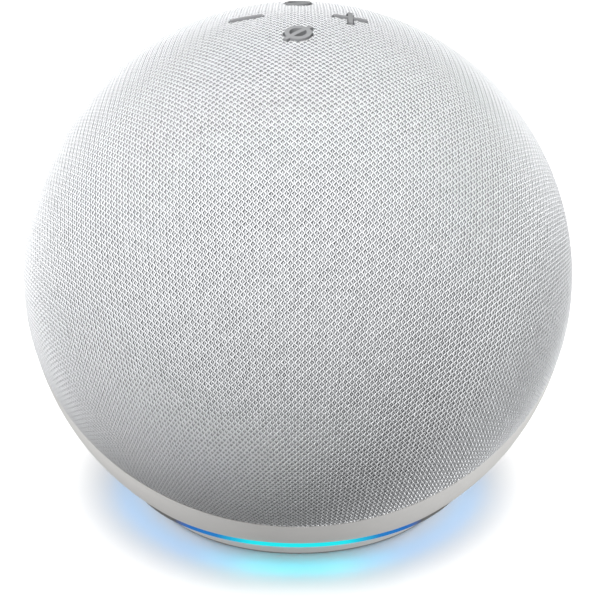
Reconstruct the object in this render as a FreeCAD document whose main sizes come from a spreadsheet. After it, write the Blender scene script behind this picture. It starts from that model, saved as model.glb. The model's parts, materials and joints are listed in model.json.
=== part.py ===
"""Spherical smart speaker: knitted fabric over a pierced shell in front and above, a moulded
housing behind and below, a light ring over the base, four keys at the top, a tilted woofer,
two tweeters and the electronics. Millimetres, +Z up, front towards -Y, origin on the floor
under the sphere's centre."""

import FreeCAD, Part
import math
import os
import Sketcher

SIZES = {
    # Enclosure. Heights called *_low and *_top are measured from the sphere's centre.
    "sphere_radius": 72.0,
    "centre_height": 61.0,
    "part_tilt": 38.0,            # the seam's axis leans this far from upright to the front
    "seam_top": 1.6,              # lower edge of the fabric, along the seam's axis
    "seam_gap": 0.7,              # height of the dark gasket between fabric and housing
    "fabric_thick": 0.85,
    "grille_outer": 71.1,
    "grille_inner": 68.6,
    "grille_hole": 4.5,
    "housing_outer": 71.6,
    "housing_inner": 69.0,
    "screw_gap": 0.05,
    "screw_head": 1.8,            # radius, as for the next three
    "screw_shank": 0.85,
    "pilot_hole": 0.9,            # where a small screw bites
    "screw_boss": 2.0,
    # Base stack, each height under the sphere's centre.
    "skirt_low": 53.5,
    "floor_low": 51.4,
    "floor_top": 49.2,
    "floor_radius": 49.0,
    "ring_top": 53.6,
    "ring_low": 55.3,
    "ring_outer": 46.5,
    "ring_inner": 37.0,
    "base_top_radius": 46.3,
    "base_low_radius": 40.7,
    "base_low": 60.4,
    "foot_outer": 40.2,
    "foot_inner": 22.0,
    "base_screw_circle": 32.0,
    "led_circle": 40.0,
    # Keys at the top.
    "key_back": 1.2,              # the four keys' middle, behind the sphere's centre
    "key_side": 13.2,             # the minus and plus keys, from the keys' middle
    "key_front": 12.5,            # the round keys, from the keys' middle
    "key_rise": 0.2,
    "key_bar": 1.15,
    "key_length": 8.2,
    "key_disc": 3.4,
    "mic_dish": 2.2,
    "action_dish": 2.75,
    "dish_depth": 0.9,            # below the sphere
    "slash_length": 9.2,
    "window_gap": 0.25,
    "deck_radius": 21.8,
    "deck_lip": 25.5,
    "deck_inner": 67.2,
    "top_screw_circle": 19.6,
    "board_thick": 1.6,
    "top_board_radius": 22.0,
    "top_board_low": 56.2,
    "switch_width": 6.0,
    "switch_tall": 3.4,
    # Speakers, along the seam's axis.
    "frame_radius": 62.0,
    "frame_low": 20.0,
    "frame_top": 23.0,
    "frame_screw_circle": 53.0,
    "chamber_outer": 60.0,
    "chamber_inner": 58.0,
    "chamber_low": -14.0,
    "flange_low": -1.5,
    "flange_top": 0.5,
    "flange_radius": 67.95,
    "flange_screws": 64.8,
    "woofer_flange": 43.0,
    "woofer_screws": 40.6,
    "cone_radius": 30.5,
    "coil_inner": 8.4,
    "coil_outer": 9.2,
    "pole_radius": 8.0,
    "magnet_radius": 22.0,
    # Tweeters, along their own axes.
    "tweeter_turn": 38.0,         # to each side of the front
    "tweeter_rise": 20.0,         # above the horizon
    "tweeter_radius": 12.0,
    "tweeter_flange": 13.8,
    "tweeter_low": 53.0,
    "dome_radius": 8.8,
    # Electronics.
    "main_board_low": 45.2,       # under the sphere's centre
    "main_board_round": 50.5,
    "recess_half": 17.0,
    "recess_back": 50.0,
    "recess_low": 46.0,
    "recess_top": 30.0,
    "wall": 2.0,
    "dc_bore": 3.15,
    "dc_pin": 1.0,
    "dc_depth": 9.5,
    "dc_drop": 38.2,
    "dc_side": -8.0,
    "audio_bore": 1.8,
    "audio_depth": 14.0,
    "audio_drop": 40.4,
    "audio_side": 9.0,
}

FAR = 200.0                       # larger than the whole object, for half-space cutters
GRILLE_ROWS = {16: 6, 31: 12, 46: 17, 61: 20, 76: 22}   # degrees from the seam's axis: holes
LEDS = 12
FLANGE_SCREWS = 6

doc = FreeCAD.newDocument("smart_speaker")
sheet = doc.addObject("Spreadsheet::Sheet", "Sizes")
for row, (alias, number) in enumerate(SIZES.items(), start=1):
    sheet.set(f"A{row}", alias)
    sheet.set(f"B{row}", str(number))
    sheet.setAlias(f"B{row}", alias)
doc.recompute()


class Size:
    """A number together with the sheet expression that gives it."""

    def __init__(self, value, text=None):
        self.value = float(value)
        self.text = text or repr(float(value))

    def __add__(self, other):
        return Size(self.value + size(other).value, f"({self.text} + {size(other).text})")

    def __sub__(self, other):
        return Size(self.value - size(other).value, f"({self.text} - {size(other).text})")

    def __mul__(self, other):
        return Size(self.value * size(other).value, f"({self.text} * {size(other).text})")

    def __neg__(self):
        return Size(-self.value, f"(-1 * {self.text})")

    def __radd__(self, other):
        return size(other) + self

    def __rsub__(self, other):
        return size(other) - self

    def __rmul__(self, other):
        return size(other) * self


def size(number):
    return number if isinstance(number, Size) else Size(number)


class Sheet:
    """Gives each cell of the sheet as a Size, by its alias."""

    def __getattr__(self, alias):
        return Size(SIZES[alias], f"Sizes.{alias}")


S = Sheet()
NODES = []
UP = FreeCAD.Vector(0, 0, 1)
BUILT = ("Part::Cut", "Part::MultiFuse", "Part::Common", "PartDesign::Body")


def bind(item, name, amount):
    """Sets a property and ties it to the sheet."""
    setattr(item, name, size(amount).value)
    item.setExpression(name, size(amount).text)


def spot(item, x=0, y=0, z=0, turn=0, axis=UP):
    """Places an object, its position tied to the sheet."""
    x, y, z = size(x), size(y), size(z)
    point = FreeCAD.Vector(x.value, y.value, z.value)
    item.Placement = FreeCAD.Placement(point, FreeCAD.Rotation(axis, turn))
    for letter, amount in zip("xyz", (x, y, z)):
        item.setExpression(f"Placement.Base.{letter}", amount.text)
    return item


def made(kind):
    return doc.addObject(kind, "step")


def ball(radius):
    item = made("Part::Sphere")
    bind(item, "Radius", radius)
    return item


def rod(radius, low, high, x=0, y=0):
    """An upright cylinder between two heights."""
    item = made("Part::Cylinder")
    bind(item, "Radius", radius)
    bind(item, "Height", size(high) - low)
    return spot(item, x, y, low)


def rod_along_y(radius, start, end, x, z):
    item = made("Part::Cylinder")
    bind(item, "Radius", radius)
    bind(item, "Height", size(end) - start)
    return spot(item, x, start, z, -90, FreeCAD.Vector(1, 0, 0))


def tube(outer, inner, low, high):
    return cut(rod(outer, low, high), rod(inner, low, high))


def block(x, y, z):
    """A box from three (low, high) pairs."""
    item = made("Part::Box")
    for name, (low, high) in zip(("Length", "Width", "Height"), (x, y, z)):
        bind(item, name, size(high) - low)
    return spot(item, x[0], y[0], z[0])


def bar(length, width, low, high, x=0, y=0, turn=0):
    """An upright bar, centred on a point and turned about it."""
    solid = block((-size(length) * 0.5, size(length) * 0.5),
                  (-size(width) * 0.5, size(width) * 0.5), (low, high))
    return spot(group(solid), x, y, 0, turn)


def group(*pieces):
    item = made("Part::Compound")
    item.Links = list(pieces)
    return item


def cut(base, *tools):
    item = made("Part::Cut")
    item.Base = base
    item.Tool = tools[0] if len(tools) == 1 else join(*tools)
    return item


def join(*pieces):
    item = made("Part::MultiFuse")
    item.Shapes = list(pieces)
    return item


def common(first, second):
    item = made("Part::Common")
    item.Base = first
    item.Tool = second
    return item


def free(item):
    """Wraps a primitive that already has a place of its own, so that it can be placed again."""
    return item if item.TypeId in BUILT else group(item)


def tilted(item):
    """Leans an object to the seam's axis, about the sphere's centre."""
    item = free(item)
    item.Placement = FreeCAD.Placement(
        FreeCAD.Vector(), FreeCAD.Rotation(FreeCAD.Vector(1, 0, 0), S.part_tilt.value))
    item.setExpression("Placement.Rotation.Angle", "Sizes.part_tilt")
    return item


def beside_seam(height, side):
    """Everything above (side 1) or below (side -1) a height along the seam's axis."""
    low, high = (height, FAR) if side > 0 else (-FAR, height)
    return tilted(block((-FAR, FAR), (-FAR, FAR), (low, high)))


def turned(outline):
    """A body turned about its own Z axis from (radius, height) corners."""
    body = doc.addObject("PartDesign::Body", "turned")
    sketch = body.newObject("Sketcher::SketchObject", "outline")
    plane = [f for f in body.Origin.OriginFeatures if f.Role == "XZ_Plane"][0]
    sketch.AttachmentSupport = (plane, [""])
    sketch.MapMode = "FlatFace"
    corners = [(size(radius), size(height)) for radius, height in outline]
    points = [FreeCAD.Vector(r.value, h.value, 0) for r, h in corners]
    for start, end in zip(points, points[1:] + points[:1]):
        sketch.addGeometry(Part.LineSegment(start, end), False)
    for edge in range(len(points)):
        follower = (edge + 1) % len(points)
        sketch.addConstraint(Sketcher.Constraint("Coincident", edge, 2, follower, 1))
    for edge, corner in enumerate(corners):
        for kind, amount in zip(("DistanceX", "DistanceY"), corner):
            rule = Sketcher.Constraint(kind, -1, 1, edge, 1, amount.value)
            index = sketch.addConstraint(rule)
            if amount.text.startswith(("Sizes", "(")):
                sketch.setExpression(f"Constraints[{index}]", amount.text)
    turn = body.newObject("PartDesign::Revolution", "turn")
    turn.Profile = sketch
    turn.ReferenceAxis = (sketch, ["V_Axis"])
    turn.Angle = 360
    return body


def around(count, radius, start=0.0):
    """Evenly spaced (x, y) places on a circle, tied to its radius."""
    for number in range(count):
        angle = math.radians(start + 360.0 * number / count)
        yield size(radius) * round(math.cos(angle), 9), size(radius) * round(math.sin(angle), 9)


def screw(head_radius, radius, head_low, head_high, tip, x, y):
    """A screw whose head lies between two heights and whose shank runs to its tip."""
    if size(tip).value < size(head_low).value:
        shank = rod(radius, tip, head_low, x, y)
    else:
        shank = rod(radius, head_high, tip, x, y)
    return join(rod(head_radius, head_low, head_high, x, y), shank)


def keep(item, name, place="centre"):
    """Names a finished sub-part and moves it from its own frame to where it belongs."""
    item = free(item)
    upright = FreeCAD.Rotation()
    lean = FreeCAD.Rotation(FreeCAD.Vector(1, 0, 0), S.part_tilt.value)
    turns = {"centre": upright, "tilted": lean}
    for side, sign in (("left", -1), ("right", 1)):
        aim = tweeter_aim(sign)
        turns["tweeter_" + side] = FreeCAD.Rotation(UP, aim)
    item.Placement = FreeCAD.Placement(
        FreeCAD.Vector(0, 0, S.centre_height.value), turns[place])
    item.setExpression("Placement.Base.z", "Sizes.centre_height")
    if place == "tilted":
        item.setExpression("Placement.Rotation.Angle", "Sizes.part_tilt")
    item.Label = name
    NODES.append(item)
    return item


def tweeter_aim(sign):
    """The direction that a tweeter faces: sign -1 for the left one, 1 for the right."""
    turn = math.radians(S.tweeter_turn.value)
    rise = math.radians(S.tweeter_rise.value)
    return FreeCAD.Vector(sign * math.cos(rise) * math.sin(turn),
                          -math.cos(rise) * math.cos(turn), math.sin(rise))


# ---------------------------------------------------------------- keys

# name: (x, y) of each key's middle
KEYS = {
    "minus": (-S.key_side, S.key_back),
    "plus": (S.key_side, S.key_back),
    "mic_off": (0, S.key_back - S.key_front),
    "action": (0, S.key_back + S.key_front),
}
KEY_DISHES = {"mic_off": S.mic_dish, "action": S.action_dish}    # hollows in the round keys
KEY_FLANGE = (63.2, 64.2)
KEY_FLANGE_RADIUS = 5.6
POST_LOW = 62.0
POST_RADIUS = 2.2
SWITCH_FLOOR = 60.0               # bottom of the well that the plunger slides in
PLUNGER_RADIUS = 1.7


def key_prisms(name, low, high, grow=0.0):
    """The upright bars and discs that a key's outline is made of."""
    x, y = KEYS[name]
    width = S.key_bar + 2 * grow
    if name == "minus":
        return [bar(S.key_length + 2 * grow, width, low, high, x, y)]
    if name == "plus":
        return [bar(S.key_length + 2 * grow, width, low, high, x, y, turn) for turn in (0, 90)]
    disc = rod(S.key_disc + grow, low, high, x, y)
    if name == "action":
        return [disc]
    return [disc, bar(S.slash_length + 2 * grow, width, low, high, x, y, 45)]


def key_windows(low, high):
    return [prism for name in KEYS for prism in key_prisms(name, low, high, S.window_gap.value)]


def make_key(name):
    x, y = KEYS[name]
    prisms = key_prisms(name, KEY_FLANGE[1], FAR)
    outline = prisms[0] if len(prisms) == 1 else join(*prisms)
    top = common(outline, ball(S.sphere_radius + S.key_rise))
    if name in KEY_DISHES:
        dish = cut(rod(KEY_DISHES[name], POST_LOW, FAR, x, y), ball(S.sphere_radius - S.dish_depth))
        if name == "mic_off":
            dish = cut(dish, bar(S.slash_length, S.key_bar, POST_LOW - 1, FAR + 1, x, y, 45))
        top = cut(top, dish)
    flange = rod(KEY_FLANGE_RADIUS, KEY_FLANGE[0], KEY_FLANGE[1], x, y)
    post = rod(POST_RADIUS, POST_LOW, KEY_FLANGE[0], x, y)
    keep(join(top, flange, post), "key_" + name)
    keep(rod(PLUNGER_RADIUS, SWITCH_FLOOR + 0.7, POST_LOW, x, y), "switch_plunger_" + name)


def make_top():
    """The deck under the keys, with its board, switches and microphones."""
    cap = common(ball(S.grille_outer), rod(S.deck_radius, 40, FAR))
    lip = common(ball(S.grille_inner - 0.1), rod(S.deck_lip, 40, FAR))
    plate = cut(join(cap, lip), ball(S.deck_inner))
    board_top = S.top_board_low + S.board_thick
    screw_places = list(around(4, S.top_screw_circle, 45))
    bosses = [rod(S.screw_boss, board_top, 66.0, x, y) for x, y in screw_places]
    holes = [rod(S.pilot_hole, board_top, 63.0, x, y) for x, y in screw_places]
    keep(cut(join(plate, *bosses), *key_windows(50, FAR), *holes), "button_deck")
    for name in KEYS:
        make_key(name)

    board = rod(S.top_board_radius, S.top_board_low, board_top)
    holes = [rod(S.pilot_hole + S.screw_gap, 50, 60, x, y) for x, y in screw_places]
    keep(cut(board, *holes), "top_board")
    screws = [screw(S.screw_head, S.screw_shank, 54.9, 56.2, 62.5, x, y) for x, y in screw_places]
    keep(group(*screws), "top_board_screws")

    half = S.switch_width * 0.5
    switch_top = board_top + S.switch_tall
    switches = []
    for x, y in KEYS.values():
        can = block((size(x) - half, size(x) + half), (size(y) - half, size(y) + half),
                    (board_top, switch_top))
        switches.append(cut(can, rod(PLUNGER_RADIUS + 0.05, SWITCH_FLOOR, FAR, x, y)))
    keep(group(*switches), "tact_switches")
    cans = [block((x - 1.8, x + 1.8), (y - 1.4, y + 1.4), (board_top, board_top + 1.0))
            for x, y in around(4, 9.9, 45)]
    keep(group(*cans), "microphones")


# ---------------------------------------------------------------- enclosure

SLOT = (-6.5, 6.5)                # the way through for the flat cable, side to side
BOARD_POSTS = ((-28, -8), (28, -8), (-28, 28), (28, 28))


def grille_holes():
    """Round holes in rows about the seam's axis, left out where the key deck sits."""
    lean = math.radians(S.part_tilt.value)
    pole = FreeCAD.Vector(0, math.sin(lean), math.cos(lean))
    for degrees, count in GRILLE_ROWS.items():
        for number in range(count):
            turn = 2 * math.pi * (number + 0.5) / count
            slant = math.radians(degrees)
            way = FreeCAD.Vector(math.sin(slant) * math.cos(turn),
                                 math.sin(slant) * math.sin(turn), math.cos(slant))
            if math.degrees(way.getAngle(pole)) < 26:
                continue
            item = made("Part::Cylinder")
            bind(item, "Radius", S.grille_hole)
            bind(item, "Height", S.grille_outer - S.grille_inner + 6)
            item.Placement = FreeCAD.Placement(way * (S.grille_inner.value - 3),
                                               FreeCAD.Rotation(UP, way))
            yield item


def make_shells():
    below = beside_seam(S.seam_top, -1)
    windows = key_windows(50, FAR)
    skin = cut(ball(S.sphere_radius), ball(S.sphere_radius - S.fabric_thick))
    keep(cut(skin, below, *windows), "fabric_cover")

    shell = cut(ball(S.grille_outer), ball(S.grille_inner))
    dome = common(shell, block((-FAR, FAR), (-FAR, FAR), (S.seam_top, FAR)))
    spigot = tube(68.85, 68.15, -1.0, 4.0)
    pierced = cut(join(dome, spigot), group(*grille_holes()))
    opening = free(rod(S.deck_radius + 0.2, 0, FAR))
    opening.Placement = FreeCAD.Placement(
        FreeCAD.Vector(), FreeCAD.Rotation(FreeCAD.Vector(1, 0, 0), -S.part_tilt.value))
    keep(cut(pierced, opening), "grille_shell", "tilted")

    low = S.seam_top - S.seam_gap
    gasket = turned([(69.0, low), (71.35, low), (71.35, S.seam_top), (69.0, S.seam_top)])
    keep(gasket, "seam_gasket", "tilted")


def make_rear_housing():
    shell = cut(ball(S.housing_outer), ball(S.housing_inner))
    ledge = tilted(tube(70.0, 62.5, -4.0, S.flange_low))
    deck = rod(S.floor_radius, -S.floor_low, -S.floor_top)
    half = S.recess_half
    pocket_wall = common(
        block((-(half + S.wall), half + S.wall), (S.recess_back - S.wall, 68),
              (-(S.recess_low + S.wall), S.wall - S.recess_top)),
        ball(70.5))
    posts = [rod(2.6, -S.floor_top, -S.main_board_low, x, y) for x, y in BOARD_POSTS]
    bosses = []
    for x, y in around(4, S.base_screw_circle):
        bosses.append(rod(3.2, -S.skirt_low, -S.floor_low, x, y))
        bosses.append(rod(3.0, -S.floor_top, -46.4, x, y))
    solid = join(shell, ledge, deck, pocket_wall, *posts, *bosses)

    above = beside_seam(S.seam_top - S.seam_gap, 1)
    below = block((-FAR, FAR), (-FAR, FAR), (-FAR, -S.skirt_low))
    pocket = block((-half, half), (S.recess_back, FAR), (-S.recess_low, -S.recess_top))
    dc_hole = rod_along_y(4.6, 45, 55, S.dc_side, -S.dc_drop)
    audio_hole = rod_along_y(3.5, 45, 55, S.audio_side, -S.audio_drop)
    flange_holes = tilted(group(*[rod(S.pilot_hole, -3.8, 0, x, y)
                                  for x, y in around(FLANGE_SCREWS, S.flange_screws)]))
    slot = tilted(block(SLOT, (61.3, 66.6), (-6, 1)))
    post_holes = [rod(S.pilot_hole, -48.7, -40, x, y) for x, y in BOARD_POSTS]
    boss_holes = [rod(1.1, -55, -47.0, x, y) for x, y in around(4, S.base_screw_circle)]
    keep(cut(solid, above, below, pocket, dc_hole, audio_hole, flange_holes, slot,
             *post_holes, *boss_holes), "rear_housing")


def make_base():
    top, low = -S.ring_top, -S.ring_low
    ring = turned([(S.ring_inner, low), (S.ring_outer, low), (S.ring_outer, top),
                   (S.ring_inner, top)])
    keep(ring, "light_ring")

    board = turned([(35.6, -52.6), (43.4, -52.6), (43.4, -S.floor_low), (35.6, -S.floor_low)])
    keep(board, "led_board")
    chips = []
    for x, y in around(LEDS, S.led_circle, 15):
        chips.append(block((x - 1.5, x + 1.5), (y - 1.5, y + 1.5), (-53.4, -52.6)))
    keep(group(*chips), "leds")

    floor = -S.base_low
    plate = turned([(0, floor), (S.base_low_radius, floor), (S.base_top_radius, low),
                    (38.0, low), (38.0, -57.2), (36.0, -58.3), (0, -58.3)])
    bosses = []
    holes = []
    for x, y in around(4, S.base_screw_circle):
        bosses.append(rod(3.2, -58.5, -S.skirt_low, x, y))
        holes.append(rod(2.3, -FAR, -58.9, x, y))
        holes.append(rod(1.2, -60, -50, x, y))
    keep(cut(join(plate, *bosses), *holes), "base_plate")
    screws = [screw(2.1, 1.05, -60.3, -58.9, -47.2, x, y)
              for x, y in around(4, S.base_screw_circle)]
    keep(group(*screws), "base_screws")
    foot = turned([(S.foot_inner, -S.centre_height), (S.foot_outer, -S.centre_height),
                   (S.foot_outer, floor), (S.foot_inner, floor)])
    keep(foot, "rubber_foot")


# ---------------------------------------------------------------- woofer

CLEAR_HOLE = S.pilot_hole + S.screw_gap  # where a small screw passes freely


def make_frame():
    plate = rod(S.frame_radius, S.frame_low, S.frame_top)
    seats = []
    bores = [rod(34.5, 0, 30), block(SLOT, (56.0, 70.0), (10, 30))]
    lean = FreeCAD.Rotation(FreeCAD.Vector(1, 0, 0), -S.part_tilt.value)
    for sign in (-1, 1):
        way = lean.multVec(tweeter_aim(sign))
        turn = FreeCAD.Rotation(UP, way)
        azimuth = math.degrees(math.atan2(way.y, way.x))
        seat = free(rod(14.2, 52.0, 58.0))
        bore = join(rod(S.tweeter_radius + 0.15, 38.0, 90.0),
                    rod(S.tweeter_flange + 0.15, 58.0, 90.0))
        for item in (seat, bore):
            item.Placement = FreeCAD.Placement(FreeCAD.Vector(), turn)
        leg = block((43.6, 50.0), (-9, 9), (S.frame_top, 33.5))
        seats += [seat, spot(group(leg), 0, 0, 0, azimuth)]
        bores.append(bore)
    bores += [rod(CLEAR_HOLE, 10, 30, x, y) for x, y in around(6, S.frame_screw_circle)]
    bores += [rod(CLEAR_HOLE, 10, 30, x, y) for x, y in around(4, S.woofer_screws, 45)]
    keep(cut(join(plate, *seats), *bores), "speaker_frame", "tilted")


def make_chamber():
    bowl = common(cut(ball(S.chamber_outer), ball(S.chamber_inner)),
                  rod(FAR, S.chamber_low, S.frame_low))
    deck = rod(58.2, S.chamber_low, S.chamber_low + S.wall)
    rim = tube(56.4, 50.0, 17.0, S.frame_low)
    flange = tube(S.flange_radius, 59.0, S.flange_low, S.flange_top)
    holes = [rod(CLEAR_HOLE, -5, 5, x, y) for x, y in around(FLANGE_SCREWS, S.flange_screws)]
    holes += [rod(S.pilot_hole, 17.2, 30, x, y) for x, y in around(6, S.frame_screw_circle)]
    slot = block(SLOT, (61.3, 66.6), (-3, 2))
    lead_hole = rod(3.4, -20, -5, 27.6, 0)
    keep(cut(join(bowl, deck, rim, flange), slot, lead_hole, *holes),
         "speaker_chamber", "tilted")
    screws = [screw(S.screw_head, S.screw_shank, 0.5, 1.9, -3.6, x, y)
              for x, y in around(FLANGE_SCREWS, S.flange_screws)]
    keep(group(*screws), "chamber_screws", "tilted")
    screws = [screw(S.screw_head, S.screw_shank, 23.0, 24.4, 17.6, x, y)
              for x, y in around(6, S.frame_screw_circle)]
    keep(group(*screws), "frame_screws", "tilted")


FLANGE_LOW, FLANGE_TOP = 23.6, 25.4      # the woofer's flange, above its gasket


def make_woofer():
    gasket = turned([(34.8, S.frame_top), (S.woofer_flange, S.frame_top),
                     (S.woofer_flange, FLANGE_LOW), (34.8, FLANGE_LOW)])
    holes = [rod(1.0, 10, 30, x, y) for x, y in around(4, S.woofer_screws, 45)]
    keep(cut(gasket, *holes), "woofer_gasket", "tilted")

    wall = turned([(S.woofer_flange, FLANGE_LOW), (S.woofer_flange, FLANGE_TOP),
                   (34.9, FLANGE_TOP), (32.6, FLANGE_LOW), (32.0, 12.6), (18.2, 2.4),
                   (10.5, 2.4), (10.5, 1.0), (19.0, 1.0), (33.4, 12.0), (34.3, FLANGE_LOW)])
    windows = []
    for number in range(6):
        window = block((22.5, 31.5), (-6, 6), (2.6, 11.5))
        windows.append(spot(group(window), 0, 0, 0, 30 + 60 * number))
    holes = [rod(CLEAR_HOLE, 20, 30, x, y) for x, y in around(4, S.woofer_screws, 45)]
    tab = block((24.6, 29.4), (-3.5, 3.5), (7.0, 8.0))
    keep(join(cut(wall, *windows, *holes), tab), "woofer_basket", "tilted")
    screws = [screw(S.screw_head, S.screw_shank, FLANGE_TOP, 26.8, 20.4, x, y)
              for x, y in around(4, S.woofer_screws, 45)]
    keep(group(*screws), "woofer_screws", "tilted")

    keep(tube(20.0, 9.6, -1.5, 1.0), "woofer_top_plate", "tilted")
    keep(tube(S.magnet_radius, 11.5, -7.5, -1.5), "woofer_magnet", "tilted")
    keep(turned([(0, -10.5), (20.0, -10.5), (20.0, -7.5), (S.pole_radius, -7.5),
                 (S.pole_radius, 1.0), (0, 1.0)]), "woofer_yoke", "tilted")
    keep(turned([(S.coil_inner, -3.8), (S.coil_outer, -3.8), (S.coil_outer, 8.6),
                 (S.coil_inner, 8.6)]), "woofer_voice_coil", "tilted")
    keep(turned([(S.coil_outer, 7.4), (S.coil_outer, 8.2), (S.cone_radius, FLANGE_TOP),
                 (S.cone_radius, 24.6)]), "woofer_cone", "tilted")
    cap = cut(ball(14.0), ball(13.6))
    cap = spot(group(cap), 0, 0, -0.2)
    keep(common(cap, rod(20, 9.3, 20)), "woofer_dust_cap", "tilted")

    roll = cut(made_torus(33.2, 2.2), made_torus(33.2, 1.8))
    roll = common(spot(group(roll), 0, 0, FLANGE_TOP), rod(60, FLANGE_TOP, 40))
    lips = [tube(31.4, 29.9, FLANGE_TOP, 25.8), tube(38.2, 35.0, FLANGE_TOP, 25.8)]
    keep(join(roll, *lips), "woofer_surround", "tilted")
    keep(turned(spider_outline()), "woofer_spider", "tilted")


def made_torus(radius, thickness):
    item = made("Part::Torus")
    bind(item, "Radius1", radius)
    bind(item, "Radius2", thickness)
    return item


def spider_outline():
    """A thin corrugated ring between the voice coil and the basket."""
    start, pitch, wave, thick, middle = S.coil_outer, 1.45, 0.7, 0.4, 5.0
    top = []
    for number in range(9):
        lift = 0 if number in (0, 8) else wave * (-1) ** number
        top.append((start + number * pitch, middle + lift))
    return top + [(radius, height - thick) for radius, height in reversed(top)]


# ---------------------------------------------------------------- tweeters

def make_tweeter(side):
    low = S.tweeter_low
    place = "tweeter_" + side
    housing = turned([
        (0, low), (S.tweeter_radius, low), (S.tweeter_radius, 58.0), (S.tweeter_flange, 58.0),
        (S.tweeter_flange, 60.4), (9.2, 60.4), (9.2, 58.4), (10.2, 57.4), (10.2, 54.2),
        (0, 54.2)])
    keep(housing, f"tweeter_{side}_housing", place)
    keep(rod(6.8, 54.2, 57.0), f"tweeter_{side}_magnet", place)
    shell = spot(group(cut(ball(20.0), ball(19.6))), 0, 0, 41.2)
    dome = common(shell, rod(S.dome_radius, 58.6, 70))
    keep(join(dome, tube(8.1, 7.5, 57.4, 59.6)), f"tweeter_{side}_dome", place)


# ---------------------------------------------------------------- electronics

def make_main_board():
    low = -S.main_board_low
    top = low + S.board_thick
    outline = common(block((-34, 34), (-14, 45.5), (low, top)),
                     rod(S.main_board_round, low, top))
    holes = [rod(1.0, -60, -30, x, y) for x, y in BOARD_POSTS]
    keep(cut(outline, *holes), "main_board")
    screws = [screw(S.screw_head, S.screw_shank, -43.6, -42.2, -48.5, x, y)
              for x, y in BOARD_POSTS]
    keep(group(*screws), "board_screws")

    can = block((-13, 13), (-9, 13), (top, -41.4))
    hollow = block((-12.7, 12.7), (-8.7, 12.7), (top, -41.7))
    keep(cut(can, hollow), "shield_can")
    keep(block((-7, 7), (-5, 9), (top, -42.2)), "processor")
    keep(block((-11, 11), (-7, 11), (-41.4, -40.9)), "thermal_pad")
    fins = [block((x, x + 1.2), (-8, 12), (-39.0, -33.0)) for x in (-12, -8.4, -4.8, -1.2,
                                                                    2.4, 6.0, 9.6)]
    keep(join(block((-12, 12), (-8, 12), (-40.9, -38.9)), *fins), "heat_sink")
    chips = [block((17, 26), (0, 8), (top, -42.4)), block((-26, -17), (-2, 6), (top, -42.4)),
             block((-30, -20), (12, 20), (top, -41.8)), block((19, 25), (-11, -5), (top, -42.6))]
    keep(group(*chips), "board_chips")
    cans = [rod(3.0, top, -36.4, x, y) for x, y in ((-20, 27), (-20, 35), (20, 36), (27, 37))]
    keep(group(*cans), "capacitors")

    sockets = [block((-6, 6), (21.5, 27.5), (top, -41.0)),
               block((22.5, 27.5), (14.5, 21.5), (top, -40.6)),
               block((-6, 6), (10, 15), (53.7, S.top_board_low))]
    keep(group(*sockets), "cable_sockets")


def make_ports():
    top = -S.main_board_low + S.board_thick
    body = block((S.dc_side - 5, S.dc_side + 5), (32, 46), (top, -32.9))
    nose = rod_along_y(4.5, 45, S.recess_back, S.dc_side, -S.dc_drop)
    well = rod_along_y(S.dc_bore, S.recess_back - S.dc_depth, 60, S.dc_side, -S.dc_drop)
    keep(cut(join(body, nose), well), "dc_jack")
    keep(rod_along_y(S.dc_pin, S.recess_back - S.dc_depth, S.recess_back - 0.5,
                     S.dc_side, -S.dc_drop), "dc_jack_pin")
    body = block((S.audio_side - 4, S.audio_side + 4), (34.5, 46), (top, -37.2))
    nose = rod_along_y(3.4, 46, S.recess_back, S.audio_side, -S.audio_drop)
    nose = common(nose, block((-60, 60), (40, 60), (top, -30)))
    well = rod_along_y(S.audio_bore, S.recess_back - S.audio_depth, 60,
                       S.audio_side, -S.audio_drop)
    keep(cut(join(body, nose), well), "audio_jack")


def bent_path(points):
    """Straight runs joined by tangent arcs, each arc as large as its runs allow."""
    points = [FreeCAD.Vector(*point) for point in points]
    edges = []
    last = points[0]
    for before, corner, after in zip(points, points[1:], points[2:]):
        back = (before - corner).normalize()
        on = (after - corner).normalize()
        reach = 0.45 * min((before - corner).Length, (after - corner).Length)
        half = (math.pi - back.getAngle(on)) / 2
        radius = reach / math.tan(half)
        start, end = corner + back * reach, corner + on * reach
        middle_way = (back + on).normalize()
        depth = radius / math.cos(half) - radius
        print(f"bend radius {radius:.1f} mm")
        edges.append(Part.LineSegment(last, start).toShape())
        edges.append(Part.Arc(start, corner + middle_way * depth, end).toShape())
        last = end
    edges.append(Part.LineSegment(last, points[-1]).toShape())
    return Part.Wire(edges)


def swept(path, profile):
    item = made("Part::Feature")
    item.Shape = path.makePipeShell([profile], True, False)
    return item


def make_cables():
    """The flat cable from the key board to the main board, and the woofer's two leads."""
    path = bent_path([(0, 15, 54.8), (0, 31, 54.8), (0, 51.2, 38.8), (0, 62.8, 8),
                      (0, 58, -20), (0, 33, -27), (0, 24.5, -40.8)])
    flat = Part.makePolygon([FreeCAD.Vector(x, 15, 54.8 + z) for x, z in (
        (-5, -0.15), (5, -0.15), (5, 0.15), (-5, 0.15), (-5, -0.15))])
    keep(swept(path, flat), "ribbon_cable")

    lean = FreeCAD.Rotation(FreeCAD.Vector(1, 0, 0), S.part_tilt.value)
    leads = []
    for side in (-1.3, 1.3):
        start = lean.multVec(FreeCAD.Vector(27.6, side, 7.0))
        through = lean.multVec(FreeCAD.Vector(27.6, side, -17.0))
        route = [start, through, FreeCAD.Vector(26.5, 18 + side, -27),
                 FreeCAD.Vector(25, 18 + side, -40.3)]
        way = (through - start).normalize()
        ring = Part.Wire(Part.makeCircle(0.6, start, way))
        leads.append(swept(bent_path(route), ring))
    keep(group(*leads), "woofer_leads")


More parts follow.
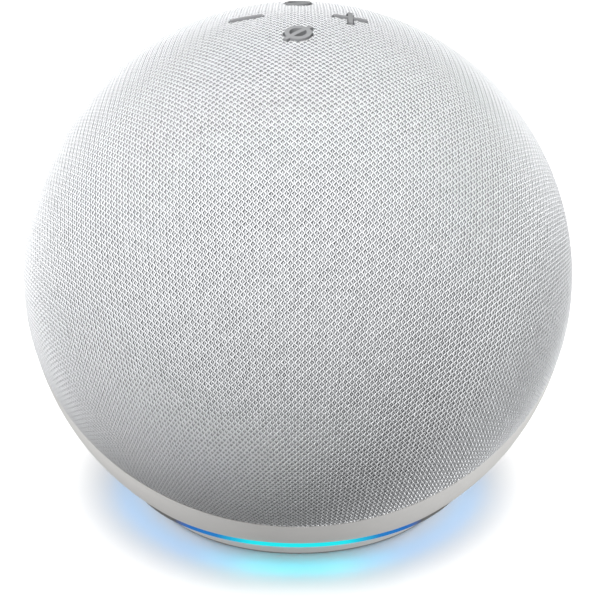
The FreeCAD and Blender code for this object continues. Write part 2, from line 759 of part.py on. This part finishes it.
def write_parts():
    """Checks every object, then writes one file for each sub-part."""
    doc.recompute()
    broken = [item.Name for item in doc.Objects
              if "Invalid" in item.State or "Error" in item.State]
    bad = [item.Label for item in NODES if item.Shape.isNull() or not item.Shape.isValid()]
    if broken or bad:
        raise RuntimeError(f"failed objects {broken}, bad shapes {bad}")
    os.makedirs("parts", exist_ok=True)
    for item in NODES:
        item.Shape.exportStep(f"parts/{item.Label}.step")
    print(len(NODES), "sub-parts written")


make_shells()
make_rear_housing()
make_base()
make_top()
make_frame()
make_chamber()
make_woofer()
for side in ("left", "right"):
    make_tweeter(side)
make_main_board()
make_ports()
make_cables()
write_parts()
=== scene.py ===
"""Looks of a ball-shaped smart speaker on a white studio floor.

It has a knitted cover, a moulded plastic back, rubber keys and a lit ring. Everything is in metres in
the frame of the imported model: origin under the middle of the foot, +Z up, front towards -Y.
"""

import json
import math

import bpy
import numpy as np
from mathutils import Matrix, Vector
from mathutils.bvhtree import BVHTree


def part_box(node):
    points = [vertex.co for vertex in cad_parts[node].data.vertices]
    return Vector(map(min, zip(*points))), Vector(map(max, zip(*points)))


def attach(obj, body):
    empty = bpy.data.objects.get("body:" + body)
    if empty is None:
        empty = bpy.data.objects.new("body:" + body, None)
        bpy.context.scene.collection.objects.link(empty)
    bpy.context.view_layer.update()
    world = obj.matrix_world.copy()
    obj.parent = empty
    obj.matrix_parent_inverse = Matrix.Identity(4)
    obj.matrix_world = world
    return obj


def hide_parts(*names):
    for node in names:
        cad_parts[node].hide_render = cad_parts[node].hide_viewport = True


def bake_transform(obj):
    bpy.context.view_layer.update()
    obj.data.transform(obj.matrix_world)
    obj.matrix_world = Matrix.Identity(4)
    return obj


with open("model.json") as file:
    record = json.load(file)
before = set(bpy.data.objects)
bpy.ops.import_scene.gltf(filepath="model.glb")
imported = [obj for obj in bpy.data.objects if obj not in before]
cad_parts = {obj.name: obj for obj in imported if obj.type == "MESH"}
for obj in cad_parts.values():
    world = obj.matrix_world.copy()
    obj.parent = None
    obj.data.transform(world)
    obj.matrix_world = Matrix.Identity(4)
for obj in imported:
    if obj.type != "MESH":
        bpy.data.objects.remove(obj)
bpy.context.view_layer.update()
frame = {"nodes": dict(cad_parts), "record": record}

MM = 0.001
nodes = frame["nodes"]

# ---------------------------------------------------------------- sizes read from the frame

cover_low, cover_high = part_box("fabric_cover")
BALL_R = (cover_high.x - cover_low.x) / 2
CENTRE = Vector((0, 0, cover_high.z - BALL_R))
RING_LOW, RING_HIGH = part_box("light_ring")
RING_R = (RING_HIGH.x - RING_LOW.x) / 2
FLOOR_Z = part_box("rubber_foot")[0].z
KEYS = ("key_minus", "key_plus", "key_mic_off", "key_action")

# ---------------------------------------------------------------- the knitted cover

LEAN = math.radians(38)  # how far the cover's middle leans forward from straight up
COVER_AXIS = np.array((0.0, -math.sin(LEAN), math.cos(LEAN)))
COVER_ACROSS = np.array((1.0, 0.0, 0.0))
COVER_UP = np.array((0.0, math.cos(LEAN), math.sin(LEAN)))
COVER_EDGE = 1.6 * MM  # the cover stops this far short of the ball's middle plane
COVER_REACH = BALL_R * math.acos(COVER_EDGE / BALL_R)  # from the middle to the edge, along the cloth

STITCH_WIDE = 1.83 * MM  # one diamond of the knit, corner to corner
STITCH_TALL = 1.59 * MM
YARN_WIDE = 0.205 * MM  # half width of a net yarn
YARN_THICK = 0.13 * MM  # half thickness
YARN_LEVEL = -0.25 * MM  # middle of the net below the ball's surface
YARN_WEAVE = 0.07 * MM  # how far a yarn rises or dips where it meets the next one
YARN_KISS = 0.145 * MM  # from a meeting point to the middle of each of its two yarns
FILL_WIDE = 0.17 * MM  # the yarn that runs up through the diamonds, behind the net
FILL_THICK = 0.12 * MM
FILL_HIGH = -0.27 * MM
FILL_LOW = -0.62 * MM
GROUND_TOP = -0.5 * MM  # outer face of the closed cloth behind the yarns
YARN_CLEAR = 0.12 * MM  # the yarns stop this far from the cloth's windows
SLACK = 0.1 * MM  # how far the yarns keep from the cover's edge, and how much deeper the cloth may be hit
FEWEST_POINTS = 3  # shorter bits of yarn are left out
NET_BATCHES = 8  # pieces that the net is split into, so that none is too large to hand on whole
FILL_BATCHES = 6
PLACE_SPREAD = 0.035 * MM  # each crossing sits a little off its place
SWELL_SPREAD = 0.07  # and its yarns are a little thinner or thicker


def on_ball(u, v, lift):
    """Where points of the cloth laid flat lie on the ball, and which way is out there.

    They are given in metres across and up from the cloth's middle, and lift is their height above the ball.
    """
    reach = np.hypot(u, v)
    turn = reach / BALL_R
    safe = np.where(reach > 1e-9, reach, 1)
    side = (u / safe)[..., None] * COVER_ACROSS + (v / safe)[..., None] * COVER_UP
    out = np.cos(turn)[..., None] * COVER_AXIS + np.sin(turn)[..., None] * side
    return np.array(CENTRE) + out * (BALL_R + lift)[..., None], out


def near_keys(points):
    """True for points above the keys or close round them, where the cloth has its windows."""
    near = np.zeros(len(points), bool)
    for name in KEYS:
        low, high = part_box(name)
        margin = 1 * MM
        across = (points[:, 0] > low.x - margin) & (points[:, 0] < high.x + margin)
        deep = (points[:, 1] > low.y - margin) & (points[:, 1] < high.y + margin)
        near |= across & deep & (points[:, 2] > CENTRE.z)
    return near


def cloth_behind(points, outs, cloth):
    """True where the closed cloth lies behind a point and beside it on four sides: clear of every window."""
    look_from = 1 * MM
    look_far = 3 * MM
    deepest = BALL_R + GROUND_TOP - SLACK
    found = np.ones(len(points), bool)
    for index in np.flatnonzero(near_keys(points)):
        out = Vector(outs[index])
        across = out.orthogonal().normalized() * YARN_CLEAR
        along = out.cross(across)
        start = Vector(points[index]) + out * look_from
        for offset in (across, -across, along, -along):
            hit = cloth.ray_cast(start + offset, -out, look_far)[0]
            if hit is None or (hit - CENTRE).length < deepest:
                found[index] = False
                break
    return found


def runs(mask):
    """First and last index of each unbroken run of True."""
    edges = np.flatnonzero(np.diff(np.concatenate(([0], mask.astype(int), [0]))))
    return zip(edges[::2], edges[1::2])


def yarn_mesh(centres, outs, wide, thick):
    """Vertices and faces of one yarn: a closed tube of diamond section along the points given."""
    along = np.gradient(centres, axis=0)
    side = np.cross(along, outs)
    side /= np.linalg.norm(side, axis=1)[:, None]
    count = len(centres)
    rings = np.stack((centres + side * wide, centres + outs * thick,
                      centres - side * wide, centres - outs * thick), axis=1)
    first = np.arange(count - 1)[:, None] * 4
    corner = np.arange(4)[None, :]
    following = (corner + 1) % 4
    quads = np.stack((first + corner, first + following, first + 4 + following, first + 4 + corner), axis=-1)
    last = (count - 1) * 4
    ends = np.array(((3, 2, 1, 0), (last, last + 1, last + 2, last + 3)))
    return rings.reshape(-1, 3), np.concatenate((quads.reshape(-1, 4), ends))


def mesh_object(name, vertices, faces, material, smooth=True):
    """An object from vertices and faces, all of which have the same number of corners."""
    mesh = bpy.data.meshes.new(name)
    mesh.vertices.add(len(vertices))
    mesh.vertices.foreach_set("co", np.asarray(vertices, np.float32).ravel())
    loops = np.asarray(faces, np.int32)
    mesh.loops.add(loops.size)
    mesh.loops.foreach_set("vertex_index", loops.ravel())
    mesh.polygons.add(len(loops))
    mesh.polygons.foreach_set("loop_start", np.arange(0, loops.size, loops.shape[1], dtype=np.int32))
    mesh.polygons.foreach_set("use_smooth", np.full(len(loops), smooth))
    mesh.update(calc_edges=True)
    mesh.validate()
    mesh.materials.append(material)
    made = bpy.data.objects.new(name, mesh)
    bpy.context.scene.collection.objects.link(made)
    return made


# ---------------------------------------------------------------- materials


NOISE_ROUGH = 0.55
NOISE_LOW, NOISE_HIGH = 0.3, 0.7  # nearly all of a noise's values lie between these


class Shader:
    """A Principled material whose colour, gloss and relief come from patterns in object space."""

    def __init__(self, name, **sockets):
        self.material = bpy.data.materials.new(name)
        self.material.use_nodes = True
        self.tree = self.material.node_tree
        self.surface = self.tree.nodes["Principled BSDF"]
        for socket, value in sockets.items():
            self.surface.inputs[socket.replace("_", " ")].default_value = value
        self.place = self.tree.nodes.new("ShaderNodeTexCoord").outputs["Object"]
        self.relief = None

    def noise(self, size, detail=3.0):
        """Noise whose features are about as large as size, in metres."""
        node = self.tree.nodes.new("ShaderNodeTexNoise")
        node.inputs["Scale"].default_value = 1 / size
        node.inputs["Detail"].default_value = detail
        node.inputs["Roughness"].default_value = NOISE_ROUGH
        self.tree.links.new(self.place, node.inputs["Vector"])
        return node.outputs["Fac"]

    def ramp(self, value, *stops):
        """Colours at positions along a value, blended between."""
        node = self.tree.nodes.new("ShaderNodeValToRGB")
        elements = node.color_ramp.elements
        while len(elements) < len(stops):
            elements.new(1.0)
        for element, (position, colour) in zip(elements, stops):
            element.position = position
            element.color = (*colour, 1)
        self.tree.links.new(value, node.inputs["Fac"])
        return node.outputs["Color"]

    def span(self, value, low, high, to_low, to_high):
        """A value carried from one range over to another."""
        node = self.tree.nodes.new("ShaderNodeMapRange")
        for socket, number in zip(("From Min", "From Max", "To Min", "To Max"), (low, high, to_low, to_high)):
            node.inputs[socket].default_value = number
        self.tree.links.new(value, node.inputs["Value"])
        return node.outputs["Result"]

    def colour(self, source):
        self.tree.links.new(source, self.surface.inputs["Base Color"])

    def roughness(self, value, low, high):
        spread = self.span(value, NOISE_LOW, NOISE_HIGH, low, high)
        self.tree.links.new(spread, self.surface.inputs["Roughness"])

    def bump(self, value, height):
        """Relief as deep as height, in metres, on top of any relief already there."""
        node = self.tree.nodes.new("ShaderNodeBump")
        node.inputs["Strength"].default_value = 1.0
        node.inputs["Distance"].default_value = height
        self.tree.links.new(value, node.inputs["Height"])
        if self.relief:
            self.tree.links.new(self.relief, node.inputs["Normal"])
        self.relief = node.outputs["Normal"]
        self.tree.links.new(self.relief, self.surface.inputs["Normal"])


def tones(colour, spread):
    """A darker and a lighter tone of a colour."""
    return tuple(c * (1 - spread) for c in colour), tuple(min(1, c * (1 + spread)) for c in colour)


def plain_look(name, colour, roughness, grain, depth, spread, metallic):
    """Moulded, pressed or machined stuff: a fine grain, and tone and gloss that drift slightly."""
    shader = Shader(name, Metallic=metallic)
    dark, light = tones(colour, spread)
    drift = shader.noise(grain * 12, detail=5)
    shader.colour(shader.ramp(drift, (NOISE_LOW, dark), (NOISE_HIGH, light)))
    shader.roughness(drift, roughness * 0.9, min(1, roughness * 1.1))
    shader.bump(shader.noise(grain, detail=2), depth)
    return shader.material


def yarn_look(name, colour, spread):
    """Soft matt yarn: fibres as fine relief, and stitches that differ a little in tone."""
    shader = Shader(name, Sheen_Weight=0.02, Sheen_Roughness=0.5, Specular_IOR_Level=0.12)
    dark, light = tones(colour, spread)
    shader.colour(shader.ramp(shader.noise(1.1 * MM, detail=2), (0.32, dark), (0.68, light)))
    shader.roughness(shader.noise(0.3 * MM), 0.75, 0.95)
    shader.bump(shader.noise(0.07 * MM, detail=2), 0.02 * MM)
    return shader.material


def ring_look():
    """Light pipe: cyan right in front, then blue, and unlit round the sides and back."""
    shader = Shader("lit_ring", Roughness=0.35)
    split = shader.tree.nodes.new("ShaderNodeSeparateXYZ")
    shader.tree.links.new(shader.place, split.inputs["Vector"])
    away = shader.span(split.outputs["Y"], -RING_R, -RING_R * 0.6, 0, 1)
    shader.colour(shader.ramp(away, (0.5, (0.02, 0.03, 0.05)), (0.75, (0.45, 0.45, 0.45))))
    glow = shader.ramp(away, (0.0, (0.004, 0.83, 0.87)), (0.085, (0.003, 0.80, 0.87)),
                       (0.16, (0.003, 0.48, 0.72)), (0.27, (0.005, 0.19, 0.55)),
                       (0.53, (0.006, 0.13, 0.48)), (0.61, (0.008, 0.07, 0.28)), (0.7, (0, 0, 0)))
    shader.tree.links.new(glow, shader.surface.inputs["Emission Color"])
    shader.surface.inputs["Emission Strength"].default_value = 1.0
    return shader.material


# Slot, colour, roughness, grain and its depth in millimetres, spread of tone, and 1 for a metal.
PLAIN_LOOKS = (
    ("light_plastic", (0.88, 0.87, 0.85), 0.42, 0.25, 0.004, 0.015, 0),
    ("dark_plastic", (0.045, 0.046, 0.05), 0.5, 0.2, 0.006, 0.1, 0),
    ("seam_rubber", (0.10, 0.10, 0.105), 0.7, 0.15, 0.01, 0.08, 0),
    ("key_silicone", (0.30, 0.305, 0.312), 0.62, 0.09, 0.006, 0.03, 0),
    ("foot_rubber", (0.5, 0.5, 0.505), 0.8, 0.2, 0.02, 0.06, 0),
    ("board", (0.015, 0.09, 0.05), 0.35, 0.4, 0.008, 0.15, 0),
    ("chip", (0.03, 0.03, 0.033), 0.55, 0.1, 0.004, 0.12, 0),
    ("led_lens", (0.75, 0.72, 0.55), 0.2, 0.2, 0.003, 0.04, 0),
    ("tinned_steel", (0.62, 0.63, 0.64), 0.3, 0.12, 0.003, 0.04, 1),
    ("screw_steel", (0.42, 0.42, 0.43), 0.35, 0.1, 0.004, 0.04, 1),
    ("magnet", (0.08, 0.08, 0.085), 0.6, 0.3, 0.02, 0.15, 0),
    ("cone_paper", (0.07, 0.068, 0.065), 0.85, 0.35, 0.04, 0.2, 0),
    ("surround_rubber", (0.04, 0.04, 0.042), 0.5, 0.2, 0.006, 0.08, 0),
    ("spider_cloth", (0.55, 0.42, 0.18), 0.9, 0.3, 0.05, 0.12, 0),
    ("dome_silk", (0.09, 0.09, 0.10), 0.75, 0.15, 0.02, 0.1, 0),
    ("copper", (0.80, 0.38, 0.20), 0.3, 0.1, 0.01, 0.04, 1),
    ("aluminium", (0.70, 0.71, 0.72), 0.4, 0.15, 0.006, 0.04, 1),
    ("thermal_pad", (0.35, 0.45, 0.55), 0.8, 0.2, 0.02, 0.06, 0),
    ("nylon", (0.72, 0.70, 0.63), 0.45, 0.2, 0.005, 0.04, 0),
    ("cable_sleeve", (0.06, 0.06, 0.065), 0.5, 0.2, 0.006, 0.1, 0),
    ("contact_brass", (0.75, 0.56, 0.27), 0.28, 0.1, 0.003, 0.04, 1),
)
LOOKS = {slot: plain_look(slot, colour, rough, grain * MM, depth * MM, spread, metal)
         for slot, colour, rough, grain, depth, spread, metal in PLAIN_LOOKS}
LOOKS["diffuser"] = ring_look()
LOOKS["knit_fabric"] = yarn_look("knit_fabric", (0.88, 0.89, 0.905), 0.04)
# The cloth behind the yarns is dark grey: painted shade for the gaps between the yarns.
GAP_SHADE_LOOK = yarn_look("knit_ground_painted_shade", (0.24, 0.247, 0.257), 0.3)
FILL_LOOK = yarn_look("knit_fill", (0.76, 0.77, 0.79), 0.08)


def dress_nodes():
    """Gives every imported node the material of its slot."""
    for part in frame["record"]["subparts"]:
        piece = nodes[part["node"]]
        material = LOOKS[part["material_slot"]]
        piece.data.materials.clear()
        piece.data.materials.append(material)


# ---------------------------------------------------------------- cover pieces


def make_ground():
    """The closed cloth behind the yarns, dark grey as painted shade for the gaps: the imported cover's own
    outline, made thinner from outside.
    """
    source = nodes["fabric_cover"]
    mesh = source.data.copy()
    mesh.name = "knit_ground_painted_shade"
    points = np.array([v.co for v in mesh.vertices], float) - np.array(CENTRE)
    radius = np.linalg.norm(points, axis=1)
    inner = radius.min()
    thinner = (BALL_R + GROUND_TOP - inner) / (BALL_R - inner)
    moved = points * ((inner + (radius - inner) * thinner) / radius)[:, None] + np.array(CENTRE)
    mesh.vertices.foreach_set("co", moved.astype(np.float32).ravel())
    mesh.update()
    ground = bpy.data.objects.new("knit_ground_painted_shade", mesh)
    bpy.context.scene.collection.objects.link(ground)
    mesh.materials.clear()
    mesh.materials.append(GAP_SHADE_LOOK)
    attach(ground, "root")
    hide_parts("fabric_cover")
    return ground


chance = np.random.default_rng(12)
HALF_COUNT = int(COVER_REACH / (STITCH_TALL / 2)) + 4  # crossings from the middle to beyond the edge
GRID = 2 * HALF_COUNT + 1
stitch_shift = chance.normal(0, PLACE_SPREAD, (GRID, GRID, 2))
stitch_size = chance.normal(1, SWELL_SPREAD, (GRID, GRID))


def grid_points(i, j):
    """Flat places and yarn swell at lattice positions i, j, in half diamonds from the cloth's middle."""
    low_i, low_j = np.floor(i).astype(int) + HALF_COUNT, np.floor(j).astype(int) + HALF_COUNT
    high_i, high_j = np.ceil(i).astype(int) + HALF_COUNT, np.ceil(j).astype(int) + HALF_COUNT
    shift = (stitch_shift[low_i, low_j] + stitch_shift[high_i, high_j]) / 2
    size = (stitch_size[low_i, low_j] + stitch_size[high_i, high_j]) / 2
    return i * STITCH_WIDE / 2 + shift[..., 0], j * STITCH_TALL / 2 + shift[..., 1], size


def on_cloth(i, j):
    """True for lattice positions on the flat cloth or just past its edge, where add_yarns cuts them."""
    spill = 1.002
    return np.hypot(i * STITCH_WIDE / 2, j * STITCH_TALL / 2) < COVER_REACH * spill


def lattice_rows():
    """Positions up the cloth, in half diamonds: every crossing and the places midway between two."""
    reach = int(COVER_REACH / (STITCH_TALL / 2)) + 1
    return np.arange(-2 * reach, 2 * reach + 1) / 2


def add_yarns(name, lines, wide, thick, look, batches, cloth):
    """Builds yarns from flat points, lifts and swell, cut at the cloth's edges, as a few large pieces."""
    parts = []
    for u, v, lift, size in lines:
        points, out = on_ball(u, v, lift)
        above = (points - np.array(CENTRE)) @ COVER_AXIS > COVER_EDGE + SLACK
        keep = above & cloth_behind(points, out, cloth)
        for start, stop in runs(keep):
            if stop - start >= FEWEST_POINTS:
                swell = size[start:stop, None]
                parts.append(yarn_mesh(points[start:stop], out[start:stop], wide * swell, thick * swell))
    share = math.ceil(len(parts) / batches)
    pieces = []
    for batch in range(batches):
        chosen = parts[batch * share:(batch + 1) * share]
        offsets = np.cumsum([0] + [len(v) for v, _ in chosen[:-1]])
        vertices = np.concatenate([v for v, _ in chosen])
        faces = np.concatenate([f + o for (_, f), o in zip(chosen, offsets)])
        piece = mesh_object(f"{name}_{batch + 1}", vertices, faces, look)
        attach(piece, "root")
        pieces.append(piece)
    return pieces


def net_lines():
    """Zigzag yarns running up the cloth, each between two columns of meeting points, where i + j is odd."""
    columns = int(COVER_REACH / (STITCH_WIDE / 2)) + 1
    for column in range(-columns, columns):
        j = lattice_rows()
        meets = j % 1 == 0
        leftward = (column + j) % 2 == 1
        i = np.where(meets, np.where(leftward, column, column + 1), column + 0.5)
        fits = on_cloth(i, j)
        i, j, meets, leftward = i[fits], j[fits], meets[fits], leftward[fits]
        if len(i) < FEWEST_POINTS:
            continue
        u, v, size = grid_points(i, j)
        u += np.where(meets, np.where(leftward, YARN_KISS, -YARN_KISS), 0)
        rise = YARN_WEAVE if column % 2 else -YARN_WEAVE
        yield u, v, YARN_LEVEL + np.where(meets, rise, 0), size


def fill_lines():
    """Yarns running up through the diamonds: seen in their middles, sunk in the cloth at the crossings."""
    columns = int(COVER_REACH / (STITCH_WIDE / 2))
    for column in range(-columns, columns + 1):
        j = lattice_rows()
        i = np.full(j.shape, float(column))
        fits = on_cloth(i, j)
        i, j = i[fits], j[fits]
        if len(i) < FEWEST_POINTS:
            continue
        u, v, size = grid_points(i, j)
        height = np.maximum(0, np.cos(math.pi * (i + j)))
        yield u, v, FILL_LOW + (FILL_HIGH - FILL_LOW) * height, size


def make_cover():
    """The knitted cover: a closed cloth with its yarns in front. Returns all its pieces."""
    ground = make_ground()
    cloth = BVHTree.FromObject(ground, bpy.context.evaluated_depsgraph_get())
    net = add_yarns("net_yarn", net_lines(), YARN_WIDE, YARN_THICK, LOOKS["knit_fabric"], NET_BATCHES, cloth)
    fill = add_yarns("fill_yarn", fill_lines(), FILL_WIDE, FILL_THICK, FILL_LOOK, FILL_BATCHES, cloth)
    return [ground, *net, *fill]


def make_flexing_ring(node):
    """A copy of a ring round the woofer, put in place of the imported ring, which is hidden.
    """
    source = nodes[node]
    ring = bpy.data.objects.new(f"{node}_flexing", source.data.copy())
    bpy.context.scene.collection.objects.link(ring)
    ring.matrix_world = source.matrix_world
    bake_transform(ring)
    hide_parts(node)


# ---------------------------------------------------------------- studio


def make_camera():
    """A long lens in front of the ball and above it."""
    lift = math.radians(24.45)
    distance = 0.655
    data = bpy.data.cameras.new("camera")
    data.lens = 149.1
    data.sensor_width = 36
    data.shift_x = 0.003
    data.shift_y = -0.0415
    data.clip_start = 0.01
    data.clip_end = 20
    camera = bpy.data.objects.new("camera", data)
    bpy.context.scene.collection.objects.link(camera)
    back = Vector((0, -math.cos(lift), math.sin(lift)))
    camera.location = CENTRE + back * distance
    camera.rotation_mode = "QUATERNION"
    camera.rotation_quaternion = (-back).to_track_quat("-Z", "Y")
    bpy.context.scene.camera = camera


def make_floor():
    """A white floor. The speaker neither mirrors it nor takes light from it."""
    shader = Shader("studio_floor", Roughness=0.9, Specular_IOR_Level=0.1)
    shader.colour(shader.ramp(shader.noise(0.4), (0.3, (0.88, 0.88, 0.88)), (0.7, (0.9, 0.9, 0.9))))
    half = 6.0
    corners = [(-half, -half, 0), (half, -half, 0), (half, half, 0), (-half, half, 0)]
    floor = mesh_object("studio_floor", corners, [(0, 1, 2, 3)], shader.material, smooth=False)
    floor.location.z = FLOOR_Z
    floor.visible_diffuse = False
    floor.visible_glossy = False
    return floor


def make_world():
    """A plain white surround."""
    world = bpy.data.worlds.new("studio")
    bpy.context.scene.world = world
    world.use_nodes = True
    background = world.node_tree.nodes["Background"]
    background.inputs["Color"].default_value = (1, 1, 1, 1)
    background.inputs["Strength"].default_value = 0.28


def area_light(name, place, aim, size, power, colour=(1, 1, 1), breadth=None):
    """A soft lamp facing a point: round, or a rectangle if it has a breadth."""
    data = bpy.data.lights.new(name, "AREA")
    data.shape = "RECTANGLE" if breadth else "DISK"
    data.size = size
    if breadth:
        data.size_y = breadth
    data.energy = power
    data.color = colour
    lamp = bpy.data.objects.new(name, data)
    bpy.context.scene.collection.objects.link(lamp)
    lamp.location = place
    lamp.rotation_mode = "QUATERNION"
    lamp.rotation_quaternion = (Vector(aim) - Vector(place)).to_track_quat("-Z", "Y")
    return lamp


def studio_lamp(name, turn, rise, distance, size, power):
    """A softbox aimed at the ball, turned from the front towards +X and raised, in degrees."""
    turn, rise = math.radians(turn), math.radians(rise)
    way = Vector((math.sin(turn) * math.cos(rise), -math.cos(turn) * math.cos(rise), math.sin(rise)))
    return area_light(name, CENTRE + way * distance, CENTRE, size, power)


def link_group(name, state, members):
    """A light linking group: the only pieces that a lamp lights, or the ones that it leaves out."""
    group = bpy.data.collections.new(name)
    for member in members:
        group.objects.link(member)
    for entry in group.collection_objects:
        entry.light_linking.link_state = state
    return group


def make_studio(floor, cloth):
    """Softboxes for the speaker, and for the floor, which stays white but for the ball's soft shadow.

    A lamp has a name, its turn and rise in degrees, its distance and size in metres, and its watts.
    """
    housing = [nodes["rear_housing"], nodes["base_plate"]]
    softboxes = (
        ("all_but_floor", "EXCLUDE", [floor], (
            ("key_light", -28, 56, 1.5, 0.7, 28.5),
        )),
        ("cloth", "INCLUDE", cloth, (
            ("right_rim", 112, -32, 0.8, 0.3, 9.5),
        )),
        ("housing", "INCLUDE", housing, (
            ("front_card", 0, 2, 0.8, 0.1, 0.4),
            ("left_card", -72, 2, 0.8, 0.1, 2.6),
            ("right_card", 72, 2, 0.8, 0.1, 3.5),
            ("back_light", 170, 35, 1.2, 0.6, 3.5),
        )),
        ("only_floor", "INCLUDE", [floor], (
            ("floor_left", -95, 30, 1.5, 0.5, 6),
            ("floor_right", 95, 30, 1.5, 0.5, 5.2),
            ("floor_light", 0, 90, 2.3, 3.0, 160),
        )),
    )
    no_floor = link_group("shadow_casters", "EXCLUDE", [floor])
    for name, state, members, lamps in softboxes:
        group = link_group(name, state, members)
        for settings in lamps:
            lamp = studio_lamp(*settings)
            lamp.light_linking.receiver_collection = group
            if lamp.location.z < 0:
                lamp.light_linking.blocker_collection = no_floor


def share_between(value, low, high):
    """0 below one value, 1 above another, and a straight line between them."""
    return min(1.0, max(0.0, (value - low) / (high - low)))


def make_ring_glow(floor):
    """The ring's light on the base and the floor: cyan in front, blue at the sides, faint behind."""
    lit = link_group("ring_lit", "INCLUDE", [floor, nodes["base_plate"]])
    count = 30
    watts = 0.00036  # of the lamp right in front
    all_cyan, all_blue = 16, 28  # degrees round from the front
    full, faint = 75, 105
    radius = RING_R + 0.5 * MM
    span = 2 * math.pi * radius / count
    for step in range(count):
        angle = 2 * math.pi * step / count
        turned = math.degrees(abs((angle + math.pi) % (2 * math.pi) - math.pi))
        cyan = 1 - share_between(turned, all_cyan, all_blue)
        fade = 1 - 0.8 * share_between(turned, full, faint)
        colour = (0.0, 0.43 + 0.37 * cyan, 1.0)
        power = (0.6 + 0.4 * cyan) * fade * watts
        way = Vector((math.sin(angle), -math.cos(angle), 0))
        place = way * radius + Vector((0, 0, RING_LOW.z))
        aim = place + way * 0.1 - Vector((0, 0, 1))
        lamp = area_light(f"ring_glow_{step}", place, aim, span, power, colour, 3 * MM)
        lamp.visible_camera = False
        lamp.light_linking.receiver_collection = lit


def render_settings():
    """Colours as they are, with no film look."""
    scene = bpy.context.scene
    scene.view_settings.view_transform = "Standard"
    scene.view_settings.look = "None"


# ---------------------------------------------------------------- the scene

make_camera()
render_settings()
dress_nodes()
cover = make_cover()
make_flexing_ring("woofer_surround")
make_flexing_ring("woofer_spider")
floor = make_floor()
make_world()
make_studio(floor, cover)
make_ring_glow(floor)
